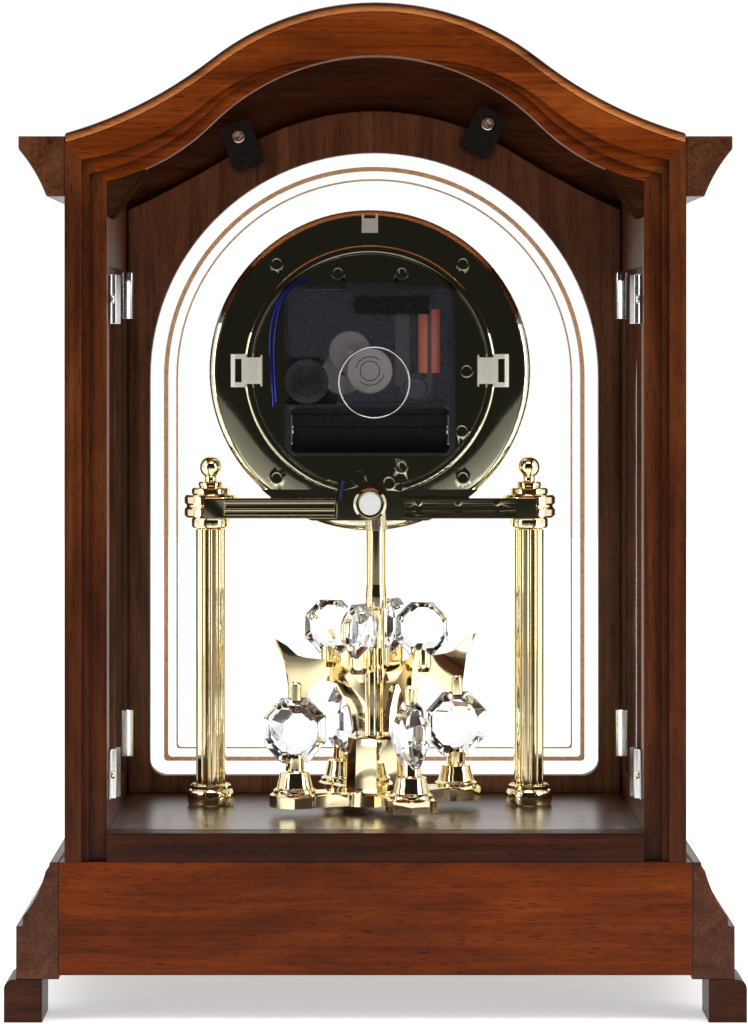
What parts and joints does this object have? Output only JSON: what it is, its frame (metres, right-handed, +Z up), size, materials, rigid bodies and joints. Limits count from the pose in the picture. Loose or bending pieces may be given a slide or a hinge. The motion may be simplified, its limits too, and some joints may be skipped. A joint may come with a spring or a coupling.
{
  "type": "mantel clock",
  "caption": "Arch-topped wooden mantel clock, open at the rear, with a gilt dial dish on two columns, a clock movement and a revolving crystal pendulum.",
  "frame": {"origin": "under the middle of the clock, on the surface that it stands on", "axes": "+Z up, the dial faces -Y and the open rear faces +Y, +X is the clock's right-hand side as seen from the front"},
  "size_m": [0.233, 0.147, 0.32],
  "materials": {
    "rear_wood": "lacquered red-brown wood, rear frame and base board",
    "side_wood": "lacquered dark red-brown wood",
    "inner_wood": "dark stained inner panels",
    "roof_wood": "glossy dark red-brown lacquer",
    "foot_wood": "lacquered wood feet",
    "floor_wood": "dark glossy lacquered floor",
    "clear_glass": "clear flat glass",
    "crystal": "cut clear crystal",
    "clip_steel": "bright plated steel",
    "screw_steel": "cross-head screws",
    "black_plastic": "black satin plastic",
    "gilt": "polished gilt plating",
    "gilt_dark": "polished gilt plating on the dial's dish",
    "ivory": "ivory plastic with bright faces",
    "dial_card": "ivory enamel",
    "smoke": "smoky clear plastic",
    "gear_plastic": "grey moulded plastic",
    "gear_white": "white moulded plastic",
    "copper": "enamelled copper wire winding",
    "iron": "laminated iron",
    "contact": "nickel-plated spring strip",
    "hand_black": "black enamel",
    "magnet": "dark moulded magnet",
    "silver": "bright cap",
    "wire": "insulated wire"
  },
  "bodies": {
    "case": {"base_moulding_right": "side_wood", "base_moulding_left": "side_wood", "base_moulding_front": "side_wood", "base_rear_board": "rear_wood", "base_top_board": "inner_wood", "feet": "foot_wood", "floor_board": "floor_wood", "side_panel_right": "inner_wood", "side_panel_left": "inner_wood", "side_glass": "clear_glass", "side_glass_clips": "clip_steel", "front_stile_right": "side_wood", "front_stile_left": "side_wood", "front_arch_rail": "side_wood", "front_bottom_rail": "side_wood", "front_glass": "clear_glass", "mask_panel": "inner_wood", "rear_stile_right": "rear_wood", "rear_stile_left": "rear_wood", "rear_arch_rail": "rear_wood", "rear_bottom_rail": "rear_wood", "corner_blocks": "inner_wood", "roof_sheet": "roof_wood", "cornice_right": "side_wood", "cornice_left": "side_wood", "front_arch_moulding": "side_wood", "case_screws": "screw_steel", "dial_back": "gilt_dark", "dial_face": "dial_card", "bezel": "gilt", "dial_lens": "clear_glass", "snap_clips": "ivory", "movement_case": "black_plastic", "movement_cover": "smoke", "stator": "iron", "coil": "copper", "battery_contacts": "contact", "wires": "wire", "arm_right": "gilt", "arm_left": "gilt", "column_right": "gilt", "column_left": "gilt", "pendulum_bracket": "gilt", "boss_cap": "silver", "hanger_tube": "gilt"},
    "minute_train": {"minute_wheel": "gear_plastic", "minute_hand": "hand_black", "hand_nut": "gilt"},
    "hour_train": {"hour_wheel": "gear_white", "hour_hand": "hand_black"},
    "day_wheel": {"day_wheel": "gear_plastic"},
    "third_wheel": {"third_wheel": "gear_white"},
    "rotor": {"rotor": "magnet"},
    "setting_knob": {"setting_knob": "black_plastic"},
    "pendulum": {"pendulum_hub": "gilt", "pendulum_base": "gilt", "lower_crystals": "crystal", "upper_crystals": "crystal"},
    "mask_clip_right": {"mask_clip_right": "black_plastic"},
    "mask_clip_left": {"mask_clip_left": "black_plastic"}
  },
  "joints": [
    {"name": "minute_turn", "type": "hinge", "parent": "case", "child": "minute_train", "pos_m": [0.0016, 0, 0.2039], "axis": [0, 1, 0], "continuous": true},
    {"name": "hour_turn", "type": "hinge", "parent": "case", "child": "hour_train", "pos_m": [0.0016, 0, 0.2039], "axis": [0, 1, 0], "continuous": true},
    {"name": "day_wheel_turn", "type": "hinge", "parent": "case", "child": "day_wheel", "pos_m": [0.01056, 0, 0.20302], "axis": [0, 1, 0], "continuous": true},
    {"name": "third_wheel_turn", "type": "hinge", "parent": "case", "child": "third_wheel", "pos_m": [0.00818, 0, 0.21004], "axis": [0, 1, 0], "continuous": true},
    {"name": "knob_turn", "type": "hinge", "parent": "case", "child": "setting_knob", "pos_m": [0.02242, 0, 0.2004], "axis": [0, 1, 0], "continuous": true},
    {"name": "rotor_turn", "type": "hinge", "parent": "case", "child": "rotor", "pos_m": [-0.0134, 0, 0.1979], "axis": [0, 1, 0], "continuous": true},
    {"name": "pendulum_turn", "type": "hinge", "parent": "case", "child": "pendulum", "pos_m": [-0.0004, 0.0135, 0.1], "axis": [0, 0, 1], "continuous": true},
    {"name": "mask_clip_right_turn", "type": "hinge", "parent": "case", "child": "mask_clip_right", "pos_m": [0.0463, -0.035, 0.2833], "axis": [0, 1, 0], "range_deg": [-90, 90]},
    {"name": "mask_clip_left_turn", "type": "hinge", "parent": "case", "child": "mask_clip_left", "pos_m": [-0.0386, -0.035, 0.2876], "axis": [0, 1, 0], "range_deg": [-90, 90]}
  ],
  "couplings": [
    {"joint": "hour_turn", "follows": "minute_turn", "ratio": 0.083333},
    {"joint": "day_wheel_turn", "follows": "minute_turn", "ratio": -0.25},
    {"joint": "third_wheel_turn", "follows": "minute_turn", "ratio": -5},
    {"joint": "knob_turn", "follows": "minute_turn", "ratio": 0.36364}
  ]
}
